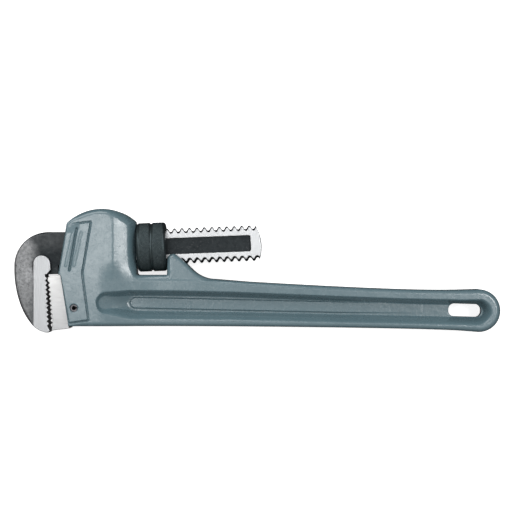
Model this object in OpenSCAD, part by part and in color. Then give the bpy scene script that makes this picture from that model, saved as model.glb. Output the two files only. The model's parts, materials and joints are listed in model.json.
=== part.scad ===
// Adjustable pipe wrench with a cast aluminium handle, lying on its side.
// +X runs from the jaws to the end of the handle, +Y from the handle side to the
// housing's dome and +Z through the thickness. The origin is under the middle.

/* [Overall] */
// Length from the back of the hook jaw to the end of the handle
overall_length = 355; // [345:1:370]
// Height of the outline, from the tip of the hook jaw to the top of the dome
overall_height = 90.4; // [90:0.1:91]
// Distance between the flat outer faces of the two raised side panels
housing_thickness = 38; // [37:0.5:41]

/* [Housing] */
// Radius of the dome over the springs
dome_radius = 35.5; // [34.5:0.1:36]
// How far each side panel stands out of the casting
panel_raise = 0.8; // [0.4:0.1:1.2]
// Length of the window that holds the adjusting nut
window_length = 23; // [22.8:0.1:23.4]

/* [Handle] */
// Thickness of the beam behind the horn
beam_thickness = 23; // [20:0.5:25]
// Thickness of the beam at its far end
beam_end_thickness = 17; // [15:0.5:19]
// Thickness of the web between the two flanges
web_thickness = 6.4; // [5:0.2:8]
// Height that the blank label band stands above the web
label_raise = 1.2; // [0.6:0.1:1.6]
// Length of the hanging slot
slot_length = 24; // [20:0.5:25]
// Width of the hanging slot
slot_width = 9.4; // [8:0.2:10]

/* [Jaws] */
// Thickness of both jaws across the teeth
jaw_thickness = 20; // [18:0.5:22]
// Distance from one jaw tooth to the next
tooth_pitch = 3.3; // [3.1:0.05:3.4]
// Depth of the jaw teeth
tooth_depth = 1.4; // [1.1:0.1:1.5]
// Diameter of the spring pin that holds the heel jaw
pin_diameter = 5.5; // [4.5:0.1:6]

/* [Shank and nut] */
// Height of the hook jaw's shank over the thread crests
shank_height = 26.2; // [25.6:0.1:26.4]
// Thickness of the shank
shank_thickness = 10.5; // [9.5:0.5:12]
// Distance from one thread to the next
thread_pitch = 5.5; // [5:0.1:6]
// Depth of the thread on the shank
thread_depth = 2.5; // [2.2:0.1:2.7]
// Diameter over the knurl of the adjusting nut
nut_diameter = 35.8; // [34:0.2:36.6]
// Width of the adjusting nut
nut_width = 21.4; // [20.4:0.2:21.6]

/* [Hidden] */
$fn = 96;

mid_z = housing_thickness / 2;
left_x = -overall_length / 2;
right_x = overall_length / 2;
top_y = overall_height / 2;
bottom_y = -overall_height / 2;

// The shank's axis passes through the middle of the nut and rises towards the handle.
nut_x = left_x + 100.3;
nut_y = top_y - 27.8;
shank_tilt = 2.2;
crest_r = shank_height / 2;
root_r = crest_r - thread_depth;
last_crest = 77.35;
turns_to_nut = 15;
helix_angle = atan(thread_pitch / (PI * (crest_r + root_r)));

// Housing
dome_x = left_x + 64.7;
dome_y = top_y - dome_radius;
window_left = nut_x - window_length / 2;
window_right = nut_x + window_length / 2;
window_floor = -3.1;
housing_half = mid_z - panel_raise;
front_top = [left_x + 39.4, dome_y + 24.6];
front_step = [left_x + 33.1, -2.7];
seat_top = [left_x + 34.7, -3];
seat_bottom = [left_x + 40.7, -40.2];
channel_half = shank_thickness / 2 + 0.5;

// Handle end and hanging slot
end_r = 15.6;
end_x = right_x - end_r;
end_y = bottom_y + 16.1;
slot_x = end_x - 9.5;
slot_y = end_y + 0.1;
slot_corner_r = 4.2;
slot_lean = -2;

// Jaws: the tooth rows lean a little differently, so the mouth widens downwards.
teeth_top = -4;
hook_row_x = left_x + 24.3;
heel_row_x = hook_row_x - 0.05;
hook_row_lean = 0.041;
heel_row_lean = 0.085;
hook_tooth_count = 11;
heel_tooth_count = 10;
heel_foot = [left_x + 27.6, -43.6];
heel_gap = 0.1;
pin_x = left_x + 44.8;
pin_y = -26.9;
pin_r = pin_diameter / 2;
pin_length = housing_thickness - 4;
tang_half = 6;
tang_gap = 0.1;

// Springs above the shank, placed along the shank's own axis
leaf_thickness = 1.2;
leaf_gap = 0.35;
leaf_width = 9.6;
leaf_front = -56;
leaf_back = -19.5;
spring_u = -40.3;
coil_r = 4.3;
coil_wire = 1.3;
coil_turns = 5;
coil_height = 9.2;
rivet_r = 1.5;

// Points of an arc about [x, y] from angle a to angle b.
function arc(x, y, r, a, b, steps) =
    [for (i = [0:steps]) let (t = a + (b - a) * i / steps) [x + r * cos(t), y + r * sin(t)]];

// Points of a cubic curve with end points p and s and handles q and r.
function curve(p, q, r, s, steps) =
    [for (i = [0:steps]) let (t = i / steps, m = 1 - t)
        m * m * m * p + 3 * m * m * t * q + 3 * m * t * t * r + t * t * t * s];

// Extrudes an outline to the given thickness about the wrench's middle plane.
module slab(thickness) {
    translate([0, 0, mid_z - thickness / 2]) linear_extrude(thickness) children();
}

// Puts its children on the shank's axis: X along the shank, Y up, Z across.
module on_shank() {
    translate([nut_x, nut_y, mid_z]) rotate([0, 0, shank_tilt]) children();
}

// Keeps what lies within a thickness that changes along X: a list of [x, half thickness].
module within_plan(plan) {
    back = [for (i = [len(plan) - 1:-1:0]) [plan[i][0], -plan[i][1]]];
    intersection() {
        children();
        translate([0, 100, mid_z]) rotate([90, 0, 0]) linear_extrude(200) polygon(concat(plan, back));
    }
}

// ---- Handle: housing, horn and I-beam in one casting ----

module handle_outline() {
    horn_tip = [window_right + 4.6, 12.4];
    slope_end = [window_right + 35.5, -6.1];
    polygon(concat(
        [seat_bottom, seat_top, front_step, front_top],
        arc(dome_x, dome_y, dome_radius, 135, 48, 24),
        [[window_left, dome_y + 24.4], [window_left, window_floor + 1.5]],
        arc(window_left + 1.5, window_floor + 1.5, 1.5, 195, 270, 4),
        [[window_right, window_floor]],
        arc(window_right + 4.4, horn_tip[1] - 4.4, 4.4, 180, 75, 6),
        curve([horn_tip[0] + 2.6, 11.3], [horn_tip[0] + 12, 4.8], [slope_end[0] - 15, -6],
              slope_end, 10),
        [[left_x + 172.5, -8.2], [left_x + 238.5, -11.9], [end_x - 54, -14.1], [end_x - 8, -13.7]],
        arc(end_x, end_y, end_r, 97, -92, 24),
        [[end_x - 17, -43.4], [end_x - 50, -41.5], [left_x + 117.5, -40.3]]));
}

handle_plan = [
    [front_step[0] - 1, housing_half], [dome_x + 8, housing_half], [window_left - 8, 17.2],
    [window_left - 3.5, 15.2], [window_left, 13], [window_right + 20, 13],
    [window_right + 42, beam_thickness / 2], [right_x + 1, beam_end_thickness / 2]];

// The recess runs down from the housing's face on a ramp, and then follows the web.
web_plan = [
    [left_x + 59, 17.4], [left_x + 84, 4.8], [left_x + 130, web_thickness / 2],
    [right_x, web_thickness / 2]];

label_plan = [for (p = web_plan) p + [0, label_raise]];

module recess_outline() {
    offset(r = 3) offset(delta = -3) polygon(concat(
        arc(left_x + 67, -22.4, 7, 110, 250, 10),
        [[left_x + 84, -35.2], [left_x + 161.5, -36], [left_x + 238.5, -37.8],
         [end_x - 12, end_y - 10.2]],
        arc(end_x, end_y - 1.1, 9.6, -90, 75, 14),
        [[end_x - 12, end_y + 7.9], [left_x + 284, -20.3], [left_x + 238.5, -18.6],
         [left_x + 161.5, -15.5], [left_x + 117.5, -14.5], [left_x + 84, -14.2]]));
}

module label_outline() {
    polygon(concat(
        arc(left_x + 88.4, -23.4, 4.2, 90, 270, 10),
        [[left_x + 238.5, -30.9], [left_x + 292, -31.6], [left_x + 292, -23.6],
         [left_x + 238.5, -22.5]]));
}

module slot_hole() {
    straight = [slot_length - 2 * slot_corner_r, slot_width - 2 * slot_corner_r];
    translate([slot_x, slot_y]) rotate(slot_lean) offset(r = slot_corner_r)
        square(straight, center = true);
}

module side_panels() {
    slab(housing_thickness) difference() {
        polygon([
            [left_x + 41.6, -37.3], seat_top + [0.6, -0.8], front_step + [0.8, 0.4],
            front_top + [0.4, -1],
            [left_x + 56.6, 35.1], [left_x + 50.4, -1.8], [left_x + 54.8, -35.5]]);
        polygon([
            [left_x + 46.4, 30.8], [left_x + 41.1, 1.7], [left_x + 43.3, -1.5],
            [left_x + 44.1, -1], [left_x + 42.3, 1.7], [left_x + 47.5, 30.5]]);
    }
}

module housing_cavity() {
    slope = tan(shank_tilt);
    under_shank = nut_y - crest_r - 0.5;
    floor_front = under_shank + (left_x + 26 - nut_x) * slope;
    floor_back = under_shank + (window_left + 1 - nut_x) * slope;
    slab(2 * channel_half) polygon([
        [left_x + 26, floor_front], [left_x + 26, 31.5], [left_x + 43, 31.5], [left_x + 43.4, 33],
        [left_x + 46, 36], [left_x + 53, 40], [left_x + 66, 40.6], [left_x + 76, 38],
        [left_x + 84.5, 33.2], [left_x + 84.5, 31.2], [window_left + 1, 31.2],
        [window_left + 1, floor_back]]);
}

// Slot between the horn's two prongs, which the shank passes through.
module shank_fork() {
    fork_floor = 1.5;
    slab(2 * channel_half) translate([window_right - 1, fork_floor]) square([40, 30]);
}

// Bore for the spring pin, right through the wrench.
module pin_bore() {
    translate([pin_x, pin_y, -1]) cylinder(r = pin_r + 0.05, h = housing_thickness + 2);
}

module handle() {
    color([0.55, 0.62, 0.65]) difference() {
        union() {
            within_plan(handle_plan) slab(housing_thickness) handle_outline();
            side_panels();
        }
        difference() {
            slab(housing_thickness + 2) recess_outline();
            within_plan(web_plan) slab(housing_thickness + 2) recess_outline();
            within_plan(label_plan) slab(housing_thickness + 2) label_outline();
        }
        slab(housing_thickness + 2) slot_hole();
        housing_cavity();
        shank_fork();
        slab(2 * (tang_half + tang_gap)) heel_tang_outline(tang_gap);
        pin_bore();
    }
}

// ---- Jaws ----

// Tooth row running down from teeth_top: crests lie on a leaning line, side is the way
// from a crest to a root, and phase 0 starts on a root and 1 on a crest.
function tooth_row(x, lean, side, phase, count) =
    [for (k = [0:2 * count - 1])
        let (y = teeth_top - k * tooth_pitch / 2, crest = (k + phase) % 2 == 1)
        [x + lean * (teeth_top - y) + (crest ? 0 : side * tooth_depth), y]];

module heel_tang_outline(extra) {
    polygon([
        [left_x + 32, -9 + extra], [left_x + 54 + extra, -12 + extra],
        [left_x + 54 + extra, -35 - extra], [left_x + 32, -38 - extra]]);
}

module heel_jaw() {
    color([0.86, 0.86, 0.85]) difference() {
        union() {
            slab(jaw_thickness) polygon(concat(
                [for (p = tooth_row(heel_row_x, heel_row_lean, 1, 1, heel_tooth_count))
                    if (p[1] < teeth_top - 1) p],
                [heel_foot, seat_bottom + [-heel_gap, -1.8], seat_top + [-heel_gap, 0],
                 [left_x + 24.9, -4.6]]));
            slab(2 * tang_half) heel_tang_outline(0);
        }
        pin_bore();
    }
}

// Rolled spring pin with its lengthwise slit.
module heel_jaw_pin() {
    hollow_r = 0.52 * pin_r;
    slit = 1;
    color([0.45, 0.45, 0.45]) translate([pin_x, pin_y, mid_z - pin_length / 2]) difference() {
        cylinder(r = pin_r, h = pin_length);
        translate([0, 0, -1]) cylinder(r = hollow_r, h = pin_length + 2);
        translate([0, -slit / 2, -1]) cube([pin_r + 1, slit, pin_length + 2]);
    }
}

module hook_head_outline() {
    back_low = [left_x + 14.2, bottom_y + 4.8];
    tip = [left_x + 25, bottom_y];
    teeth = tooth_row(hook_row_x, hook_row_lean, -1, 0, hook_tooth_count + 1);
    polygon(concat(
        [[left_x + 30, 28.4]],
        arc(left_x + 25, 3.4, 25, 90, 176, 16),
        curve([left_x, 1], [left_x, -16], [left_x + 6, -33], back_low, 14),
        curve(back_low, back_low + [3.6, -3.2], tip - [3.5, 0], tip, 6),
        [tip + [1.3, 1.6]],
        [for (i = [2 * hook_tooth_count:-1:0]) teeth[i]],
        [[left_x + 26.8, 0.5], [left_x + 26.2, 4.7], [left_x + 24.4, 9], [left_x + 22, 15]]));
}

module hook_neck_outline() {
    neck_front = left_x + 32.2;
    neck_back = left_x + 50;
    neck_top = 28.4;
    neck_bottom = nut_y - 17.2 + (neck_front - nut_x) * tan(shank_tilt);
    polygon([
        [left_x + 12, 24], [left_x + 24, neck_top], [neck_back, neck_top], [neck_back, 4],
        [neck_front, 4], [neck_front, neck_bottom], [left_x + 22.8, neck_bottom - 0.3],
        [left_x + 20, 0]]);
}

// Half ring that cuts one thread groove out of the upper side of the shank.
module thread_groove() {
    rotate([0, helix_angle, 0]) rotate([0, 90, 0]) rotate_extrude(angle = 180)
        polygon([
            [root_r, -0.5], [crest_r + 1.5, -3.3], [crest_r + 1.5, 3.3], [root_r, 0.5]]);
}

module shank_bar() {
    groove_count = 23;
    shank_front = -66;
    shank_end = 80.5;
    end_curve_r = 30;
    recess_size = [124, 8.7];
    recess_depth = 2;
    difference() {
        intersection() {
            translate([shank_front, 0, 0]) rotate([0, 90, 0]) cylinder(r = crest_r, h = 160);
            translate([0, 0, -shank_thickness / 2]) linear_extrude(shank_thickness) union() {
                translate([shank_front, -20]) square([shank_end - 20 - shank_front, 40]);
                translate([shank_end - end_curve_r, -2]) circle(r = end_curve_r);
            }
        }
        for (k = [0:groove_count - 1]) {
            u = last_crest - thread_pitch * (k + 0.5);
            translate([u, 0, 0]) thread_groove();
            translate([u + thread_pitch / 2, 0, 0]) rotate([180, 0, 0]) thread_groove();
        }
        for (side = [-1, 1]) {
            translate([0, 0, side * (shank_thickness / 2 + 5 - recess_depth) - 5]) linear_extrude(10)
                offset(r = 1.5) translate([-53, -recess_size[1] / 2]) square(recess_size);
        }
    }
}

module hook_jaw() {
    color([0.42, 0.42, 0.43]) union() {
        slab(jaw_thickness) hook_head_outline();
        slab(shank_thickness) hook_neck_outline();
        on_shank() shank_bar();
    }
}

// ---- Adjusting nut ----

nut_bore_r = crest_r + 0.5;

// Helical ridge inside the nut, swept from sections a few degrees apart.
module nut_ridge() {
    steps_per_turn = 24;
    steps = 2.75 * steps_per_turn;
    inner_r = root_r + 0.6;
    section = [[inner_r, -0.5], [nut_bore_r + 0.6, -2.3], [nut_bore_r + 0.6, 2.3], [inner_r, 0.5]];
    points = [for (i = [0:steps]) let (t = 360 * i / steps_per_turn) for (p = section)
        [thread_pitch * t / 360 + p[1], p[0] * cos(t), p[0] * sin(t)]];
    sides = [for (i = [0:steps - 1]) for (j = [0:3]) let (k = (j + 1) % 4)
        each [[4 * i + j, 4 * i + k, 4 * i + 4 + j], [4 * i + k, 4 * i + 4 + k, 4 * i + 4 + j]]];
    last = 4 * steps;
    ends = [[3, 2, 1, 0], [last, last + 1, last + 2, last + 3]];
    polyhedron(points, concat(sides, ends));
}

module adjusting_nut() {
    nut_r = nut_diameter / 2;
    half = nut_width / 2;
    corner = 2.2;
    color([0.2, 0.2, 0.21]) on_shank() union() {
        rotate([0, 90, 0]) rotate_extrude() polygon([
            [nut_bore_r, -half], [nut_r - corner, -half], [nut_r - 0.5, -half + 0.9],
            [nut_r, -half + corner], [nut_r, -0.9], [nut_r - 0.9, 0], [nut_r, 0.9],
            [nut_r, half - corner], [nut_r - 0.5, half - 0.9], [nut_r - corner, half],
            [nut_bore_r, half]]);
        // The ridge starts in one of the shank's grooves, which lie midway between crests.
        translate([last_crest - (turns_to_nut + 0.5) * thread_pitch, 0, 0]) nut_ridge();
    }
}

// ---- Springs in the dome ----

module flat_spring() {
    low = crest_r + leaf_gap;
    color([0.3, 0.32, 0.36]) on_shank() difference() {
        translate([0, 0, -leaf_width / 2]) linear_extrude(leaf_width) polygon([
            [leaf_front, low + 1.4], [leaf_front + 5, low], [leaf_back - 5, low],
            [leaf_back, low + 1.4], [leaf_back - 0.3, low + 1.4 + leaf_thickness],
            [leaf_back - 5.2, low + leaf_thickness], [leaf_front + 5.2, low + leaf_thickness],
            [leaf_front + 0.3, low + 1.4 + leaf_thickness]]);
        translate([spring_u, 0, 0]) rotate([-90, 0, 0]) cylinder(r = rivet_r + 0.03, h = 30);
    }
}

module spring_rivet() {
    low = crest_r + leaf_gap;
    head_r = coil_r - coil_wire / 2 - 0.4;
    head_height = 3;
    color([0.6, 0.6, 0.6]) on_shank() translate([spring_u, low, 0]) rotate([-90, 0, 0]) union() {
        cylinder(r = rivet_r, h = leaf_thickness + 1);
        translate([0, 0, leaf_thickness]) cylinder(r = head_r, h = head_height);
    }
}

// Coil from the leaf to the pocket in the dome, swept along a helix.
module coil_spring() {
    low = crest_r + leaf_gap + leaf_thickness + 0.1;
    steps_per_turn = 16;
    steps = steps_per_turn * coil_turns;
    rise = coil_height - coil_wire;
    points = [for (i = [0:steps]) let (t = 360 * i / steps_per_turn) for (j = [0:7])
        let (r = coil_r + coil_wire / 2 * cos(45 * j))
        [r * cos(t), coil_wire / 2 + rise * i / steps + coil_wire / 2 * sin(45 * j), r * sin(t)]];
    sides = [for (i = [0:steps - 1]) for (j = [0:7]) let (k = (j + 1) % 8)
        each [[8 * i + j, 8 * i + 8 + j, 8 * i + k], [8 * i + k, 8 * i + 8 + j, 8 * i + 8 + k]]];
    ends = [[for (j = [0:7]) j], [for (j = [7:-1:0]) 8 * steps + j]];
    color([0.7, 0.7, 0.72]) on_shank() translate([spring_u, low, 0])
        polyhedron(points, concat(sides, ends));
}

handle();
heel_jaw();
heel_jaw_pin();
hook_jaw();
adjusting_nut();
flat_spring();
coil_spring();
spring_rivet();
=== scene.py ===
"""Pipe wrench lying on its side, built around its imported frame."""
import json
import math

import bmesh
import bpy
import numpy as np
from mathutils import Matrix, Vector


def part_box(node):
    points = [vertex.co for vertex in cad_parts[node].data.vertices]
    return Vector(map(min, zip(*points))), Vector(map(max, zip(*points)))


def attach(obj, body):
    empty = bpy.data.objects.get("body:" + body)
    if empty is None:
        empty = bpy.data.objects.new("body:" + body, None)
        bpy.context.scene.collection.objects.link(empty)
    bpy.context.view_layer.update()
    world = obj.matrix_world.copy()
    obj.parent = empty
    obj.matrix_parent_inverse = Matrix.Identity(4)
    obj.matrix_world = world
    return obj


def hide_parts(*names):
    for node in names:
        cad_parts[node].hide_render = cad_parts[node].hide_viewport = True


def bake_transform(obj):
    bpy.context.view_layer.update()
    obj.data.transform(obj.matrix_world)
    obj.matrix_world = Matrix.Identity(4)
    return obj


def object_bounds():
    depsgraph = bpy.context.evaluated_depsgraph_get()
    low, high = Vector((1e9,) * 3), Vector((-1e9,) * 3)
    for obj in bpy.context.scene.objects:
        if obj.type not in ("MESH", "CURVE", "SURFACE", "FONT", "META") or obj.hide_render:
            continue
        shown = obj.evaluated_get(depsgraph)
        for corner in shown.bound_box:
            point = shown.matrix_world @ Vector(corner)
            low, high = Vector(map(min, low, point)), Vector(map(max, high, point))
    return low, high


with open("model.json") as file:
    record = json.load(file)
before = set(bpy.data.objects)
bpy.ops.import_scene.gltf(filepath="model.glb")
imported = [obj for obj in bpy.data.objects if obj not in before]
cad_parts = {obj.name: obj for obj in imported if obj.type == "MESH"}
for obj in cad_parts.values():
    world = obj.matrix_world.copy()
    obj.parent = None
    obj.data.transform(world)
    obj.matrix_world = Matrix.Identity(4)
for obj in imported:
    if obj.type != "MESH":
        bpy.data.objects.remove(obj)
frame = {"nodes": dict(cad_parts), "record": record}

cad_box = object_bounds()

# Shapes are worked out in millimetres in the row frame, and become metres in new_piece.
MM = 0.001


def mm(values):
    return [v / MM for v in values]


def node_box(node):
    low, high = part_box(node)
    return mm(low), mm(high)


def joint(name):
    return next(j for j in frame["record"]["behaviour"]["joints"] if j["name"] == name)


LEFT, BOTTOM, _ = mm(cad_box[0])
RIGHT, TOP, THICKNESS = mm(cad_box[1])
MID_Z = THICKNESS / 2
NUT_X, NUT_Y, _ = mm(joint("jaw_rock")["pos_m"])
SHANK_X, SHANK_Y, _ = joint("nut_spin")["axis"]
PIN_LOW, PIN_HIGH = node_box("heel_jaw_pin")
PIN_R = (PIN_HIGH[0] - PIN_LOW[0]) / 2
PIN_X, PIN_Y = PIN_LOW[0] + PIN_R, PIN_LOW[1] + PIN_R


# ---- Outlines and fields ----

def arc(x, y, r, a, b, steps):
    t = np.radians(np.linspace(a, b, steps + 1))
    return [(x + r * math.cos(v), y + r * math.sin(v)) for v in t]


def curve(p, q, r, s, steps):
    """Points of a cubic curve from p to s with handles q and r."""
    p, q, r, s = (np.array(v) for v in (p, q, r, s))
    points = []
    for t in np.linspace(0, 1, steps + 1):
        m = 1 - t
        points.append(tuple(m**3 * p + 3 * m * m * t * q + 3 * m * t * t * r + t**3 * s))
    return points


def inside_distance(x, y, outline):
    """Signed distance of grid points to a closed outline, negative inside."""
    nearest = np.full(x.shape, 1e9)
    crossings = np.zeros(x.shape, bool)
    for (ax, ay), (bx, by) in zip(outline, outline[1:] + outline[:1]):
        ex, ey = bx - ax, by - ay
        length = ex * ex + ey * ey
        if length == 0:
            continue
        t = np.clip(((x - ax) * ex + (y - ay) * ey) / length, 0, 1)
        nearest = np.minimum(nearest, (x - ax - t * ex) ** 2 + (y - ay - t * ey) ** 2)
        if ey != 0:
            crossings ^= ((ay > y) != (by > y)) & (x < ex * (y - ay) / ey + ax)
    return np.where(crossings, -1, 1) * np.sqrt(nearest)


def step(low, high, value):
    """Smooth step from 0 at low to 1 at high."""
    t = np.clip((value - low) / (high - low), 0, 1)
    return t * t * (3 - 2 * t)


def round_meet(a, b, r):
    """Intersection of two solids whose shared edge is rounded to radius r."""
    reach = np.hypot(np.maximum(a + r, 0), np.maximum(b + r, 0))
    return np.minimum(np.maximum(a, b), -r) + reach


def soft_max(a, b, r):
    """The larger of two heights, blended over about r where they cross."""
    h = np.maximum(r - np.abs(a - b), 0) / r
    return np.maximum(a, b) + h * h * r / 4


def soft_min(a, b, r):
    return -soft_max(-a, -b, r)


def steepness(height, x, y):
    """How many times longer a height field's surface is than its plan."""
    h = 0.05
    gx = (height(x + h, y) - height(x - h, y)) / (2 * h)
    gy = (height(x, y + h) - height(x, y - h)) / (2 * h)
    return np.sqrt(1 + gx * gx + gy * gy)


# ---- Meshes ----

def surface_nets(field, axes):
    """Quads of the zero surface of a field sampled on a grid, negative inside."""
    inside = field < 0
    cells = tuple(n - 1 for n in field.shape)
    total = np.zeros(cells + (3,), np.float32)
    count = np.zeros(cells, np.float32)
    crossed = []
    for axis in range(3):
        low = tuple(slice(0, -1) if a == axis else slice(None) for a in range(3))
        high = tuple(slice(1, None) if a == axis else slice(None) for a in range(3))
        edges = np.argwhere(inside[low] != inside[high])
        one = tuple(edges.T)
        ends = edges.copy()
        ends[:, axis] += 1
        f0 = field[one]
        t = f0 / (f0 - field[tuple(ends.T)])
        spot = np.stack([axes[a][edges[:, a]] for a in range(3)], 1)
        spot[:, axis] += t * (axes[axis][ends[:, axis]] - spot[:, axis])
        b, c = [a for a in range(3) if a != axis]
        for db in (0, 1):
            for dc in (0, 1):
                cell = edges.copy()
                cell[:, b] -= db
                cell[:, c] -= dc
                where = tuple(cell.T)
                np.add.at(total, where, spot)
                np.add.at(count, where, 1)
        crossed.append((axis, b, c, edges, inside[one]))
    filled = count > 0
    index = np.full(cells, -1)
    index[filled] = np.arange(np.count_nonzero(filled))
    points = total[filled] / count[filled][:, None]
    quads = []
    for axis, b, c, edges, starts_inside in crossed:
        corners = []
        for db, dc in ((0, 0), (1, 0), (1, 1), (0, 1)):
            cell = edges.copy()
            cell[:, b] -= db
            cell[:, c] -= dc
            corners.append(index[tuple(cell.T)])
        quad = np.stack(corners, 1)
        flip = starts_inside if axis != 1 else ~starts_inside
        quad[~flip] = quad[~flip][:, ::-1]
        quads.append(quad)
    return points, np.concatenate(quads)


def new_piece(name, points, faces, smooth=True):
    """Mesh object from points in millimetres."""
    mesh = bpy.data.meshes.new(name)
    faces = faces.tolist() if isinstance(faces, np.ndarray) else faces
    mesh.from_pydata((np.asarray(points, float) * MM).tolist(), [], faces)
    mesh.validate()
    mesh.update()
    mesh.polygons.foreach_set("use_smooth", [smooth] * len(mesh.polygons))
    piece = bpy.data.objects.new(name, mesh)
    bpy.context.scene.collection.objects.link(piece)
    return piece


def settle(piece):
    """Applies a piece's modifiers to its mesh."""
    graph = bpy.context.evaluated_depsgraph_get()
    mesh = bpy.data.meshes.new_from_object(piece.evaluated_get(graph))
    piece.modifiers.clear()
    piece.data = mesh
    return piece


def thin_out(piece, faces):
    """Collapses flat areas until about this many triangles are left."""
    now = sum(len(p.vertices) - 2 for p in piece.data.polygons)
    if now > faces:
        thin = piece.modifiers.new("thin", "DECIMATE")
        thin.ratio = faces / now
        thin.use_collapse_triangulate = True
        settle(piece)
    return piece


def corner_points(mesh):
    spots = np.empty(len(mesh.vertices) * 3)
    mesh.vertices.foreach_get("co", spots)
    return spots.reshape(-1, 3) / MM


def onto_surface(mesh, plan, solid):
    """Moves a mesh's points onto the exact surface of a solid, and takes its normals there."""
    h, most = 0.08, 0.3
    points = corner_points(mesh)
    x, y, w = points[:, 0], points[:, 1], points[:, 2] - MID_Z
    base = plan(x, y)
    slope = np.stack([solid(plan(x + h, y), w) - solid(plan(x - h, y), w),
                      solid(plan(x, y + h), w) - solid(plan(x, y - h), w),
                      solid(base, w + h) - solid(base, w - h)], 1) / (2 * h)
    steep = np.maximum((slope**2).sum(1), 0.2)[:, None]
    points -= np.clip(slope * solid(base, w)[:, None] / steep, -most, most)
    mesh.vertices.foreach_set("co", (points * MM).ravel())
    mesh.update()
    mesh.normals_split_custom_set_from_vertices((slope / np.sqrt(steep)).tolist())


def solid_piece(name, plan, solid, axes, faces):
    """Mesh of a solid given by values in plan and their signed distance at a height."""
    x, y = np.meshgrid(axes[0], axes[1], indexing="ij")
    base = plan(x, y)
    field = np.stack([solid(base, z - MID_Z) for z in axes[2]], 2).astype(np.float32)
    piece = thin_out(new_piece(name, *surface_nets(field, axes)), faces)
    onto_surface(piece.data, plan, solid)
    return piece


def grid(low, high, fine, coarse, fine_end):
    """Grid lines over a box: X is fine up to fine_end and coarse after it."""
    xs = np.concatenate([np.arange(low[0] - 1.5 * fine, fine_end, fine),
                         np.arange(fine_end, high[0] + 2 * coarse, coarse)])
    return [xs] + [np.arange(a - 1.5 * fine, b + 2 * fine, fine) for a, b in zip(low[1:], high[1:])]


def sheet_grid(rows, columns, wrap_columns=False, wrap_rows=False):
    """Quads over a rows x columns grid of points."""
    faces = []
    for i in range(rows if wrap_rows else rows - 1):
        for j in range(columns if wrap_columns else columns - 1):
            a, b = i * columns + j, i * columns + (j + 1) % columns
            c = ((i + 1) % rows) * columns
            faces.append((a, b, c + (j + 1) % columns, c + j))
    return faces


def along_shank(u, v, w):
    """Row-frame point from a place along, above and across the shank's axis."""
    x = NUT_X + u * SHANK_X - v * SHANK_Y
    y = NUT_Y + u * SHANK_Y + v * SHANK_X
    return np.stack([x, y, MID_Z + w], -1)


# ---- Casting: housing, horn and I-beam ----

PANEL_RAISE = 0.8
HOUSING_HALF = MID_Z - PANEL_RAISE
BEAM_HALF = 13
WINDOW_HALF, WINDOW_FLOOR = 11.5, -3.1
WINDOW_LEFT, WINDOW_RIGHT = NUT_X - WINDOW_HALF, NUT_X + WINDOW_HALF
CHANNEL_HALF = 5.75
TANG_HALF, TANG_ROOM = 6, 0.1
PIN_ROOM = 0.05
DOME_X, DOME_R = LEFT + 64.7, 35.5
DOME_Y = TOP - DOME_R
END_R = 15.6
END_X, END_Y = RIGHT - END_R, BOTTOM + 16.1
SLOT = (END_X - 9.5, END_Y + 0.1)
HORN_TOP = 12.4


def casting_outline():
    return ([(LEFT + 40.7, -40.2), (LEFT + 34.7, -3), (LEFT + 33.1, -2.7),
             (LEFT + 39.4, DOME_Y + 24.6)]
            + arc(DOME_X, DOME_Y, DOME_R, 135, 48, 40)
            + [(WINDOW_LEFT, DOME_Y + 24.6)]
            + arc(WINDOW_LEFT + 2.1, WINDOW_FLOOR + 1.5, 1.5, 180, 270, 5)
            + arc(WINDOW_RIGHT - 0.8, WINDOW_FLOOR + 0.8, 0.8, 270, 360, 4)
            + arc(WINDOW_RIGHT + 4.4, HORN_TOP - 4.4, 4.4, 180, 75, 12)
            + curve((WINDOW_RIGHT + 7.2, 11.3), (WINDOW_RIGHT + 16.6, 4.8),
                    (WINDOW_RIGHT + 20.5, -6), (WINDOW_RIGHT + 35.5, -6.1), 20)
            + curve((LEFT + 172.5, -8.2), (LEFT + 250, -12.5), (END_X - 40, -15),
                    (END_X - 8, -13.8), 24)
            + arc(END_X, END_Y, END_R, 97, -92, 48)
            + curve((END_X - 14, -43.6), (END_X - 40, -42), (LEFT + 200, -40.6),
                    (LEFT + 117.5, -40.3), 24))


def recess_outline():
    return (arc(LEFT + 69, -23.4, 8.2, 105, 250, 14)
            + [(LEFT + 84, -35), (LEFT + 100, -35.5), (LEFT + 161.5, -36), (LEFT + 238.5, -37.8),
               (LEFT + 284, -38.5), (END_X - 12, END_Y - 10.4)]
            + arc(END_X - 0.5, END_Y - 1.1, 9.6, -90, 75, 20)
            + [(END_X - 12, END_Y + 7.9), (LEFT + 284, -20.3), (LEFT + 238.5, -18.6),
               (LEFT + 161.5, -15.5), (LEFT + 117.5, -14.5), (LEFT + 84, -14.2)])


def label_outline():
    return (arc(LEFT + 88.4, -23.4, 4.2, 90, 270, 12)
            + [(LEFT + 238.5, -30.9), (LEFT + 299, -31.6), (LEFT + 299, -23.6),
               (LEFT + 238.5, -22.5)])


def panel_outline():
    return [(LEFT + 41.4, -37.3), (LEFT + 35.4, -3.9), (LEFT + 33.9, -2.3),
            (LEFT + 39.9, DOME_Y + 23.4), (LEFT + 56.6, 35.1), (LEFT + 50.4, -1.8),
            (LEFT + 54.8, -35.5)]


def cavity_outline():
    slope = SHANK_Y / SHANK_X
    floor = [(x, NUT_Y - 13.6 + (x - NUT_X) * slope) for x in (LEFT + 26, WINDOW_LEFT + 1)]
    return ([floor[0], (LEFT + 26, 31.5), (LEFT + 43, 31.5), (LEFT + 43.4, 33), (LEFT + 46, 36),
             (LEFT + 53, 40), (LEFT + 66, 40.6), (LEFT + 76, 38), (LEFT + 84.5, 33.2),
             (LEFT + 84.5, 31.2), (WINDOW_LEFT + 1, 31.2), floor[1]])


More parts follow.
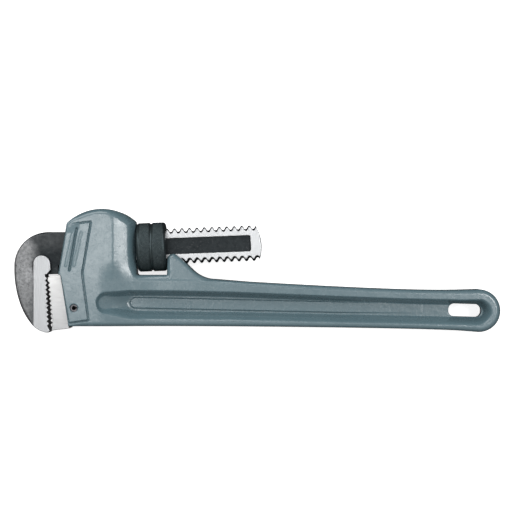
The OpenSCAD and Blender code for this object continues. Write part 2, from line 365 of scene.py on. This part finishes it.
def fork_outline():
    return [(WINDOW_RIGHT - 1, 1.5), (WINDOW_RIGHT + 39, 1.5), (WINDOW_RIGHT + 39, 31.5),
            (WINDOW_RIGHT - 1, 31.5)]


def tang_outline():
    return [(LEFT + 32, -9), (LEFT + 54, -12), (LEFT + 54, -35), (LEFT + 32, -38)]


def hang_slot(x, y):
    """Signed distance to the hanging slot, which leans a little and has rounded corners."""
    length, width, r, lean = 24, 9.4, 4.2, math.radians(-2)
    c, s = math.cos(lean), math.sin(lean)
    dx, dy = x - SLOT[0], y - SLOT[1]
    qx = np.abs(dx * c + dy * s) - length / 2 + r
    qy = np.abs(dy * c - dx * s) - width / 2 + r
    return np.hypot(np.maximum(qx, 0), np.maximum(qy, 0)) + np.minimum(np.maximum(qx, qy), 0) - r


def line_profile(x, y, a, b, width):
    """1 on the line from a to b, falling smoothly to 0 at half a width from it."""
    ex, ey = b[0] - a[0], b[1] - a[1]
    t = np.clip(((x - a[0]) * ex + (y - a[1]) * ey) / (ex * ex + ey * ey), 0, 1)
    away = np.hypot(x - a[0] - t * ex, y - a[1] - t * ey)
    return 1 - step(0, width / 2, away)


def rise(t, length):
    """Height of a slope of 1 that starts at t = 0 and bends up to its full slope over a length."""
    bend = np.clip(t / length, 0, 1)
    return length * (bend**3 - bend**4 / 2) + np.maximum(t - length, 0)


def housing_height(x, y):
    """The housing's flat face, which rolls down to the nut's window and ramps down to the beam."""
    dome = DOME_R - np.hypot(x - DOME_X, y - DOME_Y)
    dome = dome + 14 - 11 * step(0.1, 0.75, (x - DOME_X) / DOME_R) + np.maximum(-y, 0)
    t = 17.2 - soft_min(WINDOW_LEFT - x, dome, 8)
    drop = 0.27 * rise(t, 2.8) + 0.12 * rise(t - 3, 8) + 0.35 * rise(t - 11, 5)
    ramp = 5.2 * step(LEFT + 61, LEFT + 107, x)
    return HOUSING_HALF - ramp - (drop - ramp) * step(-8, 8, y)


def beam_height(x, y):
    """The I-beam's rim, which thins towards the far end."""
    fall = step(WINDOW_RIGHT + 18, WINDOW_RIGHT + 44, x)
    taper = np.clip((x - WINDOW_RIGHT - 30) / (RIGHT - WINDOW_RIGHT - 30), 0, 1)
    above = step(-4, 6, y) * (1 - step(WINDOW_LEFT, WINDOW_LEFT + 3, x))
    return BEAM_HALF - 1.5 * fall - 3 * taper - 3 * above


def web_height(x):
    return 4.6 - 1.4 * step(LEFT + 84, LEFT + 130, x)


def recess_height(x, y):
    """Floor of the recess, which ramps down from the housing's face to the web."""
    bulge = 0.1 * np.minimum((y + 23.4) ** 2, 50) * step(LEFT + 66, LEFT + 84, x)
    ramp = 17.4 - 0.53 * (x - LEFT - 59 - bulge)
    return soft_max(ramp, web_height(x), 0.8)


def label_height(x, y):
    """The blank label band, which stands on the web and sinks into it at its end."""
    raised = 1.2 - 1.2 * step(LEFT + 220, LEFT + 302, x)
    inside = step(-0.6, 0.8, -inside_distance(x, y, label_outline()))
    return web_height(x) - 1 + (1 + raised) * inside


def casting_height(x, y):
    """Half thickness of the casting: faces, recess, label band, side panel and its groove."""
    height = soft_max(housing_height(x, y), beam_height(x, y), 1.5)
    depth = -inside_distance(x, y, recess_outline())
    middle = -24.5 - 0.024 * (x - LEFT - 84)
    wall = 4.2 + 3.2 * step(1, -8, y - middle) + 2.5 * step(END_X - 2, END_X + 8, x)
    wall = 1.6 + (wall - 1.6) * step(LEFT + 60, LEFT + 74, x)
    height = height + (recess_height(x, y) - height) * step(-0.5, wall, depth)
    height = soft_max(height, label_height(x, y), 0.5)
    panel = -inside_distance(x, y, panel_outline())
    below_rim = 1 - step(27, 32.5, y) * (1 - step(LEFT + 42, LEFT + 50, x))
    edge_line = 0.9 * (1 - step(0, 0.9, np.abs(panel + 0.5)))
    height = height + (PANEL_RAISE * step(-0.15, 0.35, panel) - edge_line) * below_rim
    top, low = (LEFT + 46.9, 30.6), (LEFT + 41.6, 0.5)
    height = height - 1.7 * line_profile(x, y, top, low, 2.4)
    for side in (-2.6, 3.4):
        height = height + 0.12 * line_profile(x, y, (top[0] + side, 28), (low[0] + side, 4), 3.2)
    return height


def pin_bore(x, y):
    return np.hypot(x - PIN_X, y - PIN_Y) - PIN_R - PIN_ROOM


def casting_plan(x, y):
    height = casting_height(x, y)
    on_dome = step(0, 14, y) * (1 - step(WINDOW_LEFT - 2, WINDOW_LEFT + 2, x))
    by_window = step(DOME_X, WINDOW_LEFT - 6, x) * (1 - step(WINDOW_LEFT + 1, WINDOW_LEFT + 8, x))
    rim = 3 + 1.2 * on_dome + 2 * by_window * step(-5, 4, y) + 0.6 * step(END_X - 30, END_X, x)
    rim = 0.8 + (rim - 0.8) * step(LEFT + 38, LEFT + 52, x)
    return {"edge": inside_distance(x, y, casting_outline()), "height": height, "rim": rim,
            "slant": np.minimum(steepness(casting_height, x, y), 4),
            "jaw_space": np.minimum(inside_distance(x, y, cavity_outline()),
                                    inside_distance(x, y, fork_outline())),
            "tang_space": inside_distance(x, y, tang_outline()) - TANG_ROOM,
            "through": np.minimum(hang_slot(x, y), pin_bore(x, y))}


def casting_solid(plan, w):
    away = np.abs(w)
    skin = round_meet(plan["edge"], (away - plan["height"]) / plan["slant"], plan["rim"])
    skin = np.maximum(skin, -np.maximum(plan["jaw_space"], away - CHANNEL_HALF))
    skin = np.maximum(skin, -np.maximum(plan["tang_space"], away - TANG_HALF - TANG_ROOM))
    return round_meet(skin, -plan["through"], 0.6)


def casting():
    low, high = node_box("handle")
    axes = grid(low, high, 0.4, 0.6, LEFT + 110)
    return solid_piece("cast_handle", casting_plan, casting_solid, axes, 180000)


# ---- Hook jaw: forged head and threaded shank ----

CREST_R, ROOT_R, THREAD, LAST_CREST = 13.1, 10.6, 5.5, 77.35
SHANK_HALF, SHANK_START = 5.25, -66.5
RECESS_START, RECESS_END, RECESS_HALF, RECESS_DEPTH = -54.5, 72.5, 5.85, 2.2
JAW_HALF, FORGING_HALF = 10, 9.7
TEETH_TOP, TOOTH, TOOTH_DEPTH = -4, 3.3, 1.4


def tooth_row(x, lean, side, halves):
    """Zigzag down from TEETH_TOP, one point per half tooth, whose crests lie on a leaning line."""
    points = []
    for k in halves:
        y = TEETH_TOP - k * TOOTH / 2
        crest = (k % 2 == 1) if side < 0 else (k % 2 == 0)
        points.append((x + lean * (TEETH_TOP - y) + (0 if crest else side * TOOTH_DEPTH), y))
    return points


def head_outline():
    low = (LEFT + 14.2, BOTTOM + 4.8)
    teeth = tooth_row(LEFT + 24.3, 0.041, -1, range(23))
    return ([(LEFT + 50, 28.4)]
            + arc(LEFT + 25, 3.4, 25, 90, 176, 30)
            + curve((LEFT, 1), (LEFT, -16), (LEFT + 6, -33), low, 24)
            + curve(low, (low[0] + 3.6, low[1] - 3.2), (LEFT + 21.5, BOTTOM),
                    (LEFT + 25, BOTTOM), 12)
            + [(LEFT + 26.3, BOTTOM + 1.6)]
            + teeth[::-1]
            + [(LEFT + 22.8, -2.7), (LEFT + 32.2, -2.4), (LEFT + 32.2, 4), (LEFT + 50, 4)])


def pad_outline():
    return ([(LEFT + 14.2, 5.2), (LEFT + 14.2, BOTTOM - 4), (LEFT + 34, BOTTOM - 4),
             (LEFT + 32, -4.4), (LEFT + 22.6, -4.2), (LEFT + 26.7, 0.6)]
            + arc(LEFT + 20.3, 5, 6.2, 0, 180, 20))


def head_height(x, y):
    """Half thickness of the forging: full on the left and sunk to the neck's on the right."""
    sunk = step(LEFT + 7, LEFT + 25, x - 0.3 * (y - 8)) * step(-8, 3, y)
    return FORGING_HALF - (FORGING_HALF - SHANK_HALF) * sunk


def shank_places(x, y):
    """Places along and above the shank's axis."""
    dx, dy = x - NUT_X, y - NUT_Y
    return dx * SHANK_X + dy * SHANK_Y, dy * SHANK_X - dx * SHANK_Y


def side_recess(u, v):
    """Signed distance to the outline of the long recess in each side of the shank."""
    return round_meet(np.abs(v) - RECESS_HALF, np.maximum(u - RECESS_END, RECESS_START - u), 1.5)


def hook_plan(x, y):
    u, v = shank_places(x, y)
    pad = inside_distance(x, y, pad_outline())
    end = np.where(u > 40, np.hypot(u - 50.5, v + 2) - 30, -9)
    return {"head": inside_distance(x, y, head_outline()), "pad": pad, "u": u, "v": v,
            "height": head_height(x, y), "slant": steepness(head_height, x, y),
            "rim": 0.5 + 1.7 * step(0, 3, pad) * step(LEFT + 30, LEFT + 22, x),
            "ends": np.maximum(end, SHANK_START - u), "recess": side_recess(u, v),
            "threaded": step(-50.5, -48, u),
            # The lower row of threads gets wider rounded edges, so its dark unground rim is wider:
            # painted shade on the lower flanks.
            "bar_rim": 0.3 + 0.7 * step(78, 80, u) + 0.7 * step(-8.5, -10.5, v)}


def thread_profile(u, turn):
    """Height above the thread's root, where turn is the angle round the shank."""
    away = np.abs((u - LAST_CREST - THREAD * (turn + 0.5) + THREAD / 2) % THREAD - THREAD / 2)
    return step(0.35, 2.5, away) * (CREST_R - ROOT_R)


def hook_solid(plan, w):
    away = np.abs(w)
    forged = round_meet(plan["head"], (away - plan["height"]) / plan["slant"], plan["rim"])
    boss = round_meet(np.maximum(plan["head"], plan["pad"]), away - JAW_HALF, 0.35)
    r = np.hypot(plan["v"], w)
    turn = np.arctan2(w, plan["v"]) / (2 * math.pi)
    profile = ROOT_R + thread_profile(plan["u"], turn)
    profile = CREST_R + (profile - CREST_R) * plan["threaded"]
    bar = np.maximum((r - profile) * 0.72, r - CREST_R)
    bar = round_meet(np.maximum(bar, plan["ends"]), away - SHANK_HALF, plan["bar_rim"])
    bar = np.maximum(bar, -np.maximum(plan["recess"], SHANK_HALF - RECESS_DEPTH - away))
    return np.minimum(np.minimum(forged, boss), bar)


def store(mesh, name, values):
    attribute = mesh.attributes.new(name, "FLOAT", "POINT")
    attribute.data.foreach_set("value", np.asarray(values, np.float32))


def mark_finishes(mesh):
    """Stores how far each point is inside the ground areas, and the paleness of its scale, which
    also carries painted shade and painted light.
    """
    x, y, z = corner_points(mesh).T
    w = z - MID_Z
    u, v = shank_places(x, y)
    flat = np.clip(np.abs(w) - JAW_HALF + 0.6, -1, 1)
    bite = np.minimum(x - (LEFT + 22), -3.5 - y)
    pad = np.minimum(-inside_distance(x, y, pad_outline()), np.maximum(flat, np.minimum(bite, 1)))
    # The ground face stops short of the side's edge, so a dark unground rim outlines the threads:
    # partly the forging's own colour, partly painted shade.
    side = np.where(x > LEFT + 60, np.abs(w) - SHANK_HALF + 0.12, -1)
    store(mesh, "ground", np.maximum(pad, np.minimum(side, side_recess(u, v))))
    store(mesh, "shank", step(LEFT + 40, LEFT + 60, x))
    # The head's scale is light grey and the neck's is dark. The head is painted darker towards the
    # bottom (painted shade), and the neck's top a little lighter (painted light).
    pale_and_shade = (1 - step(LEFT + 9, LEFT + 21, x + 6 * step(17, 28, y))) * (1 - 0.35 * step(-8, -34, y))
    store(mesh, "pale_and_shade", np.maximum(pale_and_shade, 0.15 * step(11, 22, y) * (x < LEFT + 50)))


def hook_jaw():
    low, high = node_box("hook_jaw")
    axes = grid(low, high, 0.38, 0.5, LEFT + 34)
    piece = solid_piece("hook_jaw_forging", hook_plan, hook_solid, axes, 180000)
    mark_finishes(piece.data)
    return piece


# ---- Heel jaw and its pin ----

def heel_plan(x, y):
    teeth = tooth_row(LEFT + 24.25, 0.085, 1, range(2, 20))
    block = teeth + [(LEFT + 27.6, -43.6), (LEFT + 40.6, -42), (LEFT + 34.6, -3.05),
                     (LEFT + 24.9, -4.6)]
    return {"block": inside_distance(x, y, block), "tang": inside_distance(x, y, tang_outline()),
            "bore": pin_bore(x, y)}


def heel_solid(plan, w):
    away = np.abs(w)
    block = round_meet(plan["block"], away - JAW_HALF, 0.35)
    tang = round_meet(plan["tang"], away - TANG_HALF, 0.2)
    return np.maximum(np.minimum(block, tang), -plan["bore"])


def heel_jaw():
    low, high = node_box("heel_jaw")
    axes = grid(low, high, 0.28, 0.4, LEFT + 38)
    return solid_piece("heel_jaw_block", heel_plan, heel_solid, axes, 120000)


def extruded(name, outline, z_low, z_high, bevel):
    """Flat-sided block with an outline in X and Y and bevelled edges.

    The bevel's order of points and last digits vary, so points are rounded and put in order.
    """
    shape = bmesh.new()
    ring = [shape.verts.new((x * MM, y * MM, z_low * MM)) for x, y in outline]
    base = shape.faces.new(ring)
    top = bmesh.ops.extrude_face_region(shape, geom=[base])
    lifted = [v for v in top["geom"] if isinstance(v, bmesh.types.BMVert)]
    bmesh.ops.translate(shape, verts=lifted, vec=(0, 0, (z_high - z_low) * MM))
    bmesh.ops.recalc_face_normals(shape, faces=shape.faces)
    bmesh.ops.bevel(shape, geom=list(shape.edges), offset=bevel * MM, segments=2,
                    profile=0.5, affect="EDGES", clamp_overlap=True)
    shape.verts.index_update()
    spots = [tuple(round(c / MM, 4) for c in v.co) for v in shape.verts]
    order = sorted(range(len(spots)), key=spots.__getitem__)
    rank = {index: place for place, index in enumerate(order)}
    faces = []
    for face in shape.faces:
        loop = [rank[v.index] for v in face.verts]
        first = loop.index(min(loop))
        faces.append(loop[first:] + loop[:first])
    shape.free()
    return new_piece(name, [spots[i] for i in order], sorted(faces), smooth=False)


def heel_pin():
    """Rolled spring pin: a slit tube."""
    half_slit, hollow_r = 0.5, PIN_R * 0.55
    outer_slit, inner_slit = (math.degrees(math.asin(half_slit / r)) for r in (PIN_R, hollow_r))
    outer = arc(PIN_X, PIN_Y, PIN_R, outer_slit, 360 - outer_slit, 40)
    inner = arc(PIN_X, PIN_Y, hollow_r, 360 - inner_slit, inner_slit, 30)
    return extruded("rolled_pin", outer + inner, PIN_LOW[2], PIN_HIGH[2], 0.25)


# ---- Adjusting nut ----

NUT_R, NUT_HALF, NUT_BORE = 17.9, 10.7, 13.6
NUT_CORNER, NUT_GROOVE = 2.4, 0.8
KNURLS, KNURL_DEPTH = 80, 0.55


def nut_radius(u, turn):
    """Outer radius with rounded corners, a middle groove and a diamond knurl."""
    corner = np.clip(np.abs(u) - (NUT_HALF - NUT_CORNER), 0, NUT_CORNER)
    r = NUT_R - (NUT_CORNER - np.sqrt(np.maximum(NUT_CORNER**2 - corner**2, 0))) * 0.9
    groove = 1 - step(0.5, 1.2, np.abs(u))
    lift = step(1.0, 1.6, np.abs(u)) * (1 - step(NUT_HALF - 2.6, NUT_HALF - 1.8, np.abs(u)))
    pitch = 2 * math.pi * NUT_R / KNURLS
    a = turn * KNURLS + u / pitch
    b = turn * KNURLS - u / pitch
    ridges = np.minimum(np.abs(a % 1 - 0.5), np.abs(b % 1 - 0.5)) * 2
    return r - NUT_GROOVE * groove - KNURL_DEPTH * lift * (1 - step(0.1, 0.7, ridges))


def nut_bore(u, turn):
    """Bore radius with the helical ridge that runs in the shank's grooves."""
    ridge_r = np.minimum(ROOT_R + 0.6 + thread_profile(u, turn), NUT_BORE)
    mouth = step(NUT_HALF - 1.6, NUT_HALF - 0.6, np.abs(u))
    return ridge_r + (NUT_BORE + 0.3 - ridge_r) * mouth


def adjusting_nut():
    """Rings of points along the outside, over one end, back through the bore and over the other."""
    around = KNURLS * 6
    turn = np.arange(around) / around
    face = np.linspace(-NUT_HALF + 0.05, NUT_HALF - 0.05, 84)
    outside = np.concatenate([[-NUT_HALF], face, [NUT_HALF]])
    through = np.linspace(NUT_HALF - 0.1, 0.1 - NUT_HALF, 60)
    rows = [(u, nut_radius(np.full(around, u), turn)) for u in outside]
    rows += [(NUT_HALF, np.full(around, r)) for r in (15.2, 14.4)]
    rows += [(u, nut_bore(np.full(around, u), turn)) for u in through]
    rows += [(-NUT_HALF, np.full(around, r)) for r in (14.4, 15.2)]
    angle = turn * 2 * math.pi
    points = np.concatenate([
        along_shank(np.full(around, u), r * np.cos(angle), r * np.sin(angle)) for u, r in rows])
    return new_piece("knurled_nut", points, sheet_grid(len(rows), around, True, True))


# ---- Springs ----

def coil_spring():
    """Coil that stands on the flat spring, at right angles to the shank."""
    low, high = node_box("coil_spring")
    wire_r, coil_r, turns, height, sides = 0.65, 4.3, 5, 9.2, 10
    middle_u, middle_v = shank_places((low[0] + high[0]) / 2, (low[1] + high[1]) / 2)
    s = np.linspace(0, 1, 36 * turns + 1)[:, None]
    climb = s - 0.09 * np.sin(2 * math.pi * s)
    angle = 2 * math.pi * turns * s
    ring = np.linspace(0, 2 * math.pi, sides, endpoint=False)
    r = coil_r + wire_r * np.cos(ring)
    v = middle_v + (height - 2 * wire_r) * (climb - 0.5) + wire_r * np.sin(ring)
    points = along_shank(middle_u + r * np.cos(angle), v, r * np.sin(angle)).reshape(-1, 3)
    faces = sheet_grid(len(s), sides, wrap_columns=True)
    faces += [tuple(range(sides))[::-1], tuple(range(len(points) - sides, len(points)))]
    return new_piece("spring_coil", points, faces)


# ---- Materials ----

class Paint:
    """A principled material that is built up node by node."""

    def __init__(self, name, **values):
        self.material = bpy.data.materials.new(name)
        self.material.use_nodes = True
        self.tree = self.material.node_tree
        self.shader = self.tree.nodes["Principled BSDF"]
        for socket, value in values.items():
            self.shader.inputs[socket.replace("_", " ")].default_value = value
        self.place = self.add("ShaderNodeTexCoord").outputs["Object"]

    def add(self, kind, inputs=None, **settings):
        node = self.tree.nodes.new(kind)
        for key, value in settings.items():
            setattr(node, key, value)
        for key, value in (inputs or {}).items():
            if isinstance(value, bpy.types.NodeSocket):
                self.tree.links.new(value, node.inputs[key])
            else:
                node.inputs[key].default_value = value
        return node

    def feed(self, socket, output):
        self.tree.links.new(output, self.shader.inputs[socket])

    def stretched(self, x, y, z):
        return self.add("ShaderNodeMapping", {"Vector": self.place, "Scale": (x, y, z)}).outputs[0]

    def noise(self, grain, detail=3, where=None):
        """Noise whose features are about this many metres across."""
        node = self.add("ShaderNodeTexNoise",
                        {"Vector": where or self.place, "Scale": 1 / grain, "Detail": detail})
        return node.outputs["Fac"]

    def spread(self, value, low, high, to_low=0, to_high=1):
        node = self.add("ShaderNodeMapRange", {"Value": value, "From Min": low, "From Max": high,
                                               "To Min": to_low, "To Max": to_high})
        return node.outputs["Result"]

    def mix(self, factor, a, b):
        return self.add("ShaderNodeMix", {0: factor, 6: a, 7: b}, data_type="RGBA").outputs[2]

    def attribute(self, name):
        return self.add("ShaderNodeAttribute", attribute_name=name).outputs["Fac"]

    def bump(self, height, depth, normal=None):
        """Bump whose height of 1 stands this many metres."""
        inputs = {"Height": height, "Distance": depth, "Strength": 1.0}
        if normal is not None:
            inputs["Normal"] = normal
        return self.add("ShaderNodeBump", inputs).outputs["Normal"]


def enamel():
    """Glossy blue-grey enamel with a slight orange peel over the cast surface."""
    paint = Paint("enamel", Roughness=0.26, IOR=1.55, Coat_Weight=0.5, Coat_Roughness=0.16)
    tint = paint.spread(paint.noise(0.03), 0.3, 0.7)
    colour = paint.mix(tint, (0.097, 0.157, 0.181, 1), (0.111, 0.174, 0.198, 1))
    specks = paint.spread(paint.noise(0.0012, 6), 0.66, 0.72)
    colour = paint.mix(specks, colour, (0.09, 0.13, 0.15, 1))
    paint.feed("Base Color", colour)
    paint.feed("Roughness", paint.spread(paint.noise(0.006), 0.3, 0.7, 0.2, 0.32))
    peel = paint.bump(paint.noise(0.0028, 2), 0.00012)
    grain = paint.bump(paint.noise(0.0007, 3), 0.00003, peel)
    paint.feed("Normal", grain)
    return paint.material


def steel(name, colour, dark, roughness, scratches, painted_shade_fade=None):
    """Ground steel with fine scratches and random clouding; when a fade is given, the clouding
    gives way to painted shade that darkens the steel from one place along Y to the other.
    """
    paint = Paint(name, Metallic=1.0, Roughness=roughness)
    lines = paint.noise(0.0009, 4, paint.stretched(*scratches))
    cloud_and_shade = paint.spread(paint.noise(0.012), 0.3, 0.7)
    if painted_shade_fade:
        # Painted shade: the steel darkens along Y instead of clouding at random.
        along = paint.add("ShaderNodeSeparateXYZ", {"Vector": paint.place}).outputs["Y"]
        cloud_and_shade = paint.spread(along, *painted_shade_fade)
    paint.feed("Base Color", paint.mix(cloud_and_shade, colour, dark))
    paint.feed("Roughness", paint.spread(lines, 0.3, 0.7, roughness - 0.06, roughness + 0.08))
    paint.feed("Normal", paint.bump(lines, 0.00001))
    return paint.material


def forged_steel():
    """Dark forged scale that lightens on the head, with painted shade towards the bottom and
    painted light at the neck's top, and bright ground steel where the ground attribute is above 0.
    """
    paint = Paint("forged_steel", Metallic=1.0)
    ground = paint.spread(paint.attribute("ground"), -0.05, 0.05)
    # Paleness of the scale, with painted shade and painted light mixed into it.
    pale_and_shade = paint.attribute("pale_and_shade")
    scale = paint.noise(0.0026, 6)
    dark = paint.mix(scale, (0.013, 0.016, 0.018, 1), (0.042, 0.048, 0.051, 1))
    light = paint.mix(paint.spread(scale, 0.35, 0.65), (0.2, 0.205, 0.21, 1),
                      (0.31, 0.315, 0.32, 1))
    forged = paint.mix(pale_and_shade, dark, light)
    pits = paint.spread(paint.noise(0.0014, 4), 0.58, 0.7, 0, 0.7)
    forged = paint.mix(pits, forged, (0.06, 0.063, 0.067, 1))
    lines = paint.noise(0.0009, 4, paint.stretched(1, 0.12, 1))
    bright = paint.mix(paint.attribute("shank"), (0.44, 0.45, 0.46, 1), (0.52, 0.53, 0.54, 1))
    bright = paint.mix(paint.spread(lines, 0.3, 0.7, 0, 0.6), bright, (0.49, 0.5, 0.51, 1))
    paint.feed("Base Color", paint.mix(ground, forged, bright))
    paint.feed("Roughness", paint.spread(ground, 0, 1, 0.5, 0.4))
    height = paint.mix(ground, scale, lines)
    paint.feed("Normal", paint.bump(height, 0.00012))
    return paint.material


def black_oxide():
    """Blackened steel, a little worn."""
    paint = Paint("black_oxide", Metallic=0.85, Roughness=0.42)
    wear = paint.spread(paint.noise(0.0016, 4), 0.35, 0.7)
    paint.feed("Base Color", paint.mix(wear, (0.042, 0.056, 0.06, 1), (0.066, 0.086, 0.09, 1)))
    paint.feed("Roughness", paint.spread(paint.noise(0.002), 0.3, 0.7, 0.35, 0.5))
    paint.feed("Normal", paint.bump(paint.noise(0.0005), 0.00003))
    return paint.material


def dress(piece, material):
    if not piece.material_slots:
        piece.data.materials.append(material)
    for slot in piece.material_slots:
        slot.material = material


# ---- The wrench ----

def springs(wire, blued, rivet_steel):
    """The coil stands between the housing and the flat spring, which the CAD shows itself."""
    coil = coil_spring()
    dress(coil, wire)
    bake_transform(coil)
    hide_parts("coil_spring")
    dress(frame["nodes"]["flat_spring"], blued)
    dress(frame["nodes"]["spring_rivet"], rivet_steel)


def build_wrench():
    # The heel jaw's steel is painted darker towards its foot: painted shade.
    ground = steel("ground_steel", (0.63, 0.63, 0.625, 1), (0.46, 0.465, 0.47, 1), 0.42,
                   (0.12, 1, 1), painted_shade_fade=(-0.006, -0.042))
    pin_steel = steel("pin_steel", (0.17, 0.17, 0.18, 1), (0.1, 0.1, 0.11, 1), 0.4, (1, 1, 0.1))
    blued = steel("spring_steel", (0.12, 0.15, 0.24, 1), (0.2, 0.17, 0.14, 1), 0.3, (0.1, 1, 1))
    wire = steel("spring_wire", (0.5, 0.5, 0.51, 1), (0.35, 0.35, 0.37, 1), 0.3, (1, 0.2, 1))
    plan = [
        (casting(), "frame", ["handle"], "enamel", enamel()),
        (hook_jaw(), "hook_jaw", ["hook_jaw"], "forged_steel", forged_steel()),
        (heel_jaw(), "frame", ["heel_jaw"], "ground_steel", ground),
        (heel_pin(), "frame", ["heel_jaw_pin"], "pin_steel", pin_steel),
        (adjusting_nut(), "adjusting_nut", ["adjusting_nut"], "black_oxide", black_oxide()),
    ]
    for piece, body, nodes, slot, material in plan:
        dress(piece, material)
        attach(piece, body)
        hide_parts(*nodes)
    springs(wire, blued, pin_steel)


# ---- Stage, light and camera ----

SEEN_WIDTH, SEEN_HEIGHT = 0.377, 0.025      # the view's width, and the height it is measured at
CAMERA_RISE = 1.1
FLOOR_HALF = 3000


def camera():
    lens = bpy.data.cameras.new("camera")
    lens.angle = 2 * math.atan(SEEN_WIDTH / 2 / CAMERA_RISE)
    eye = bpy.data.objects.new("camera", lens)
    eye.location = (0.0003, 0.0097, SEEN_HEIGHT + CAMERA_RISE)
    bpy.context.scene.collection.objects.link(eye)
    bpy.context.scene.camera = eye


def floor():
    """White floor that shows in the picture but throws no light back up at the wrench."""
    corners = [(x * FLOOR_HALF, y * FLOOR_HALF, 0) for x, y in ((-1, -1), (1, -1), (1, 1), (-1, 1))]
    plane = new_piece("floor", corners, [(0, 1, 2, 3)], smooth=False)
    plane.location.z = -0.0005
    plane.visible_diffuse = False
    plane.visible_glossy = False
    paint = Paint("floor", Roughness=0.9, Specular_IOR_Level=0.2, Emission_Strength=0.75,
                  Emission_Color=(1, 1, 1, 1))
    tint = paint.mix(paint.noise(0.4), (0.86, 0.86, 0.86, 1), (0.88, 0.88, 0.88, 1))
    paint.feed("Base Color", tint)
    dress(plane, paint.material)


def softbox(name, place, aim, width, height, power):
    """Area light whose width runs along X."""
    light = bpy.data.lights.new(name, "AREA")
    light.shape = "RECTANGLE"
    light.size = width
    light.size_y = height
    light.energy = power
    lamp = bpy.data.objects.new(name, light)
    back = (Vector(place) - Vector(aim)).normalized()
    across = Vector((1, 0, 0)) - back * back.x
    across.normalize()
    lamp.matrix_world = Matrix((across, back.cross(across), back)).transposed().to_4x4()
    lamp.location = place
    bpy.context.scene.collection.objects.link(lamp)


def sky(zenith, horizon):
    """Soft studio surroundings that are brightest overhead."""
    world = bpy.data.worlds.new("studio")
    world.use_nodes = True
    nodes, links = world.node_tree.nodes, world.node_tree.links
    height = nodes.new("ShaderNodeSeparateXYZ")
    links.new(nodes.new("ShaderNodeTexCoord").outputs["Generated"], height.inputs[0])
    ramp = nodes.new("ShaderNodeValToRGB")
    links.new(height.outputs["Z"], ramp.inputs["Fac"])
    ramp.color_ramp.elements[0].position = 0
    ramp.color_ramp.elements[0].color = (horizon, horizon, horizon, 1)
    ramp.color_ramp.elements[1].position = 0.9
    ramp.color_ramp.elements[1].color = (zenith, zenith, zenith, 1)
    links.new(ramp.outputs["Color"], nodes["Background"].inputs["Color"])
    bpy.context.scene.world = world


def lights():
    """A big box behind, and small ones overhead that glint on the housing and its roll-off."""
    sky(0.62, 0.05)
    softbox("back_left", (-0.5, 0.8, 0.75), (0, 0, 0), 1.2, 0.7, 8)
    softbox("overhead", (-0.25, 0.065, 1.05), (-0.12, 0.01, 0), 0.18, 0.24, 0.9)
    softbox("right", (0.46, 0.13, 0.95), (-0.1, 0.01, 0), 0.3, 0.3, 3.1)
    softbox("between", (0.08, 0.09, 1.05), (-0.1, 0.02, 0), 0.42, 0.12, 0.3)
    bpy.context.scene.view_settings.view_transform = "Standard"


camera()
floor()
lights()
build_wrench()
